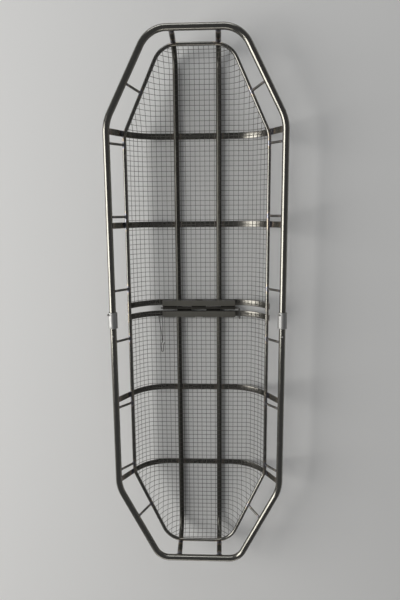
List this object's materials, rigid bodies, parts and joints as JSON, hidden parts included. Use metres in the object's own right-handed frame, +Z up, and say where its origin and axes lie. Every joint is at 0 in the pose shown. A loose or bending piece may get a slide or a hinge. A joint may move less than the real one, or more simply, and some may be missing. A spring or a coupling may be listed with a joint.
{
  "type": "rescue stretcher",
  "caption": "Two-half stainless basket stretcher with welded mesh liner, folding at mid-length on a pinned hinge and locked by sliding rail sleeves.",
  "frame": {"origin": "centre of the basket's footprint, on the floor under its ribs", "axes": "+Z up with the open side up, +Y towards the head end, +X across to the side of the pin's handle"},
  "size_m": [0.6869, 2.0826, 0.1914],
  "materials": {
    "rail_steel": "polished, lightly brushed",
    "hoop_steel": "polished",
    "rib_steel": "satin",
    "runner_steel": "satin",
    "strut_steel": "polished",
    "mesh_steel": "bright wire",
    "leaf_steel": "dull mill finish",
    "sleeve_steel": "satin, bead blasted",
    "pin_steel": "satin",
    "lanyard_wire": "twisted fine wire"
  },
  "bodies": {
    "head_half": {"head_top_rail": "rail_steel", "head_inner_hoop": "hoop_steel", "head_rib_end": "rib_steel", "head_rib_middle": "rib_steel", "head_rib_split": "rib_steel", "head_runner_left": "runner_steel", "head_runner_right": "runner_steel", "head_strut_left_1": "strut_steel", "head_strut_left_2": "strut_steel", "head_strut_left_3": "strut_steel", "head_strut_left_4": "strut_steel", "head_strut_right_1": "strut_steel", "head_strut_right_2": "strut_steel", "head_strut_right_3": "strut_steel", "head_strut_right_4": "strut_steel", "head_mesh_liner": "mesh_steel", "head_hinge_leaf": "leaf_steel"},
    "foot_half": {"foot_top_rail": "rail_steel", "foot_inner_hoop": "hoop_steel", "foot_rib_end": "rib_steel", "foot_rib_middle": "rib_steel", "foot_rib_split": "rib_steel", "foot_runner_left": "runner_steel", "foot_runner_right": "runner_steel", "foot_strut_left_1": "strut_steel", "foot_strut_left_2": "strut_steel", "foot_strut_left_3": "strut_steel", "foot_strut_left_4": "strut_steel", "foot_strut_right_1": "strut_steel", "foot_strut_right_2": "strut_steel", "foot_strut_right_3": "strut_steel", "foot_strut_right_4": "strut_steel", "foot_mesh_liner": "mesh_steel", "foot_hinge_leaf": "leaf_steel", "left_stop_stud": "sleeve_steel", "right_stop_stud": "sleeve_steel", "lanyard_eye": "pin_steel", "lanyard_strand_a": "lanyard_wire", "lanyard_strand_b": "lanyard_wire", "lanyard_crimp": "pin_steel", "hairpin_clip": "pin_steel"},
    "left_sleeve": {"left_coupler_sleeve": "sleeve_steel"},
    "right_sleeve": {"right_coupler_sleeve": "sleeve_steel"},
    "left_plunger_knob": {"left_plunger": "sleeve_steel"},
    "right_plunger_knob": {"right_plunger": "sleeve_steel"},
    "hinge_pin": {"hinge_rod": "pin_steel"},
    "pin_handle": {"rod_handle": "pin_steel"}
  },
  "joints": [
    {"name": "fold", "type": "hinge", "parent": "head_half", "child": "foot_half", "pos_m": [0, 0, 0.0105], "axis": [1, 0, 0], "range_deg": [0, 90]},
    {"name": "left_sleeve_slide", "type": "slide", "parent": "foot_half", "child": "left_sleeve", "axis": [0, -1, 0], "range_m": [0, 0.026]},
    {"name": "right_sleeve_slide", "type": "slide", "parent": "foot_half", "child": "right_sleeve", "axis": [0, -1, 0], "range_m": [0, 0.026]},
    {"name": "left_plunger_pull", "type": "slide", "parent": "left_sleeve", "child": "left_plunger_knob", "axis": [-0.7071, 0, 0.7071], "range_m": [0, 0.003], "stiffness_N_per_m": 400},
    {"name": "right_plunger_pull", "type": "slide", "parent": "right_sleeve", "child": "right_plunger_knob", "axis": [-0.7071, 0, 0.7071], "range_m": [0, 0.003], "stiffness_N_per_m": 400},
    {"name": "hinge_pin_slide", "type": "slide", "parent": "head_half", "child": "hinge_pin", "axis": [1, 0, 0], "range_m": [0, 0.03]},
    {"name": "pin_handle_turn", "type": "hinge", "parent": "hinge_pin", "child": "pin_handle", "pos_m": [0.1575, 0, 0.0105], "axis": [-1, 0, 0], "range_deg": [0, 74]}
  ]
}
